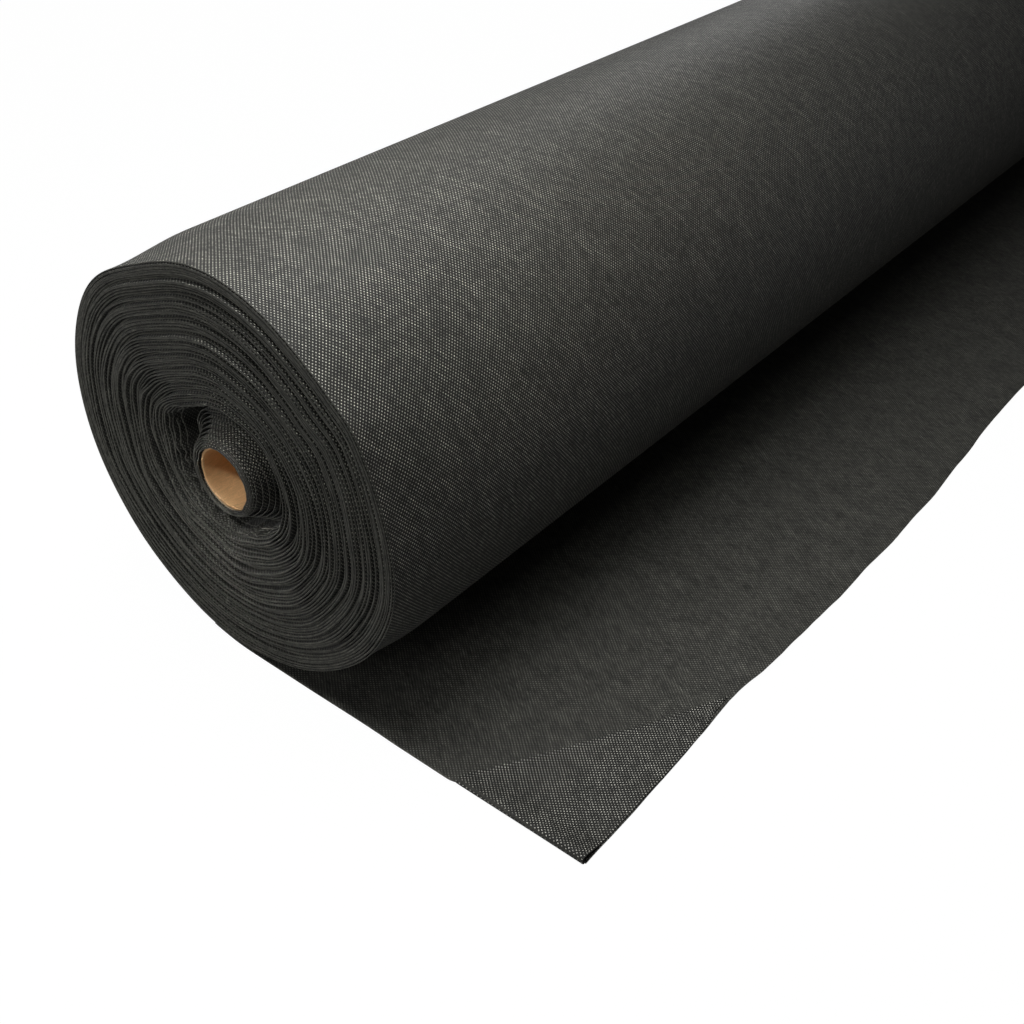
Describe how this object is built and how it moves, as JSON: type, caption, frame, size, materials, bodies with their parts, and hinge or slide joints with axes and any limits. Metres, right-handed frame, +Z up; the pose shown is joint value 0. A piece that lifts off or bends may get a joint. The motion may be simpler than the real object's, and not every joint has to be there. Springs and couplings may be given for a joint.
{
  "type": "roll of frost protection fleece",
  "caption": "Roll of dark spun-bonded frost fleece on a paperboard core, with its free end laid flat on the ground and one corner turned over.",
  "frame": {"origin": "on the ground under the roll's axis, half way along the roll", "axes": "+Y along the roll's axis, away from the end that the picture shows; +X towards the sheet's free end; +Z up"},
  "size_m": [0.407, 1.6266, 0.2753],
  "materials": {
    "paperboard": "matte",
    "tape": "satin",
    "fleece": "matte",
    "fleece_other_face": "satin"
  },
  "bodies": {
    "sheet": {"laid_fleece": "fleece"},
    "roll": {"core_tube": "paperboard", "core_tape": "tape", "wound_fleece": "fleece"},
    "end": {"free_end": "fleece"},
    "corner": {"turned_corner": "fleece_other_face"}
  },
  "joints": [
    {"name": "roll_turn", "type": "hinge", "parent": "sheet", "child": "roll", "pos_m": [0, 0, 0.1383], "axis": [0, 1, 0], "continuous": true},
    {"name": "end_lift", "type": "hinge", "parent": "sheet", "child": "end", "pos_m": [0.15, 0, 0.001], "axis": [0, -1, 0], "range_deg": [0, 90]},
    {"name": "corner_fold", "type": "hinge", "parent": "end", "child": "corner", "pos_m": [0.174, -0.797, 0.00115], "axis": [1, 0, 0], "range_deg": [0, 180]}
  ]
}
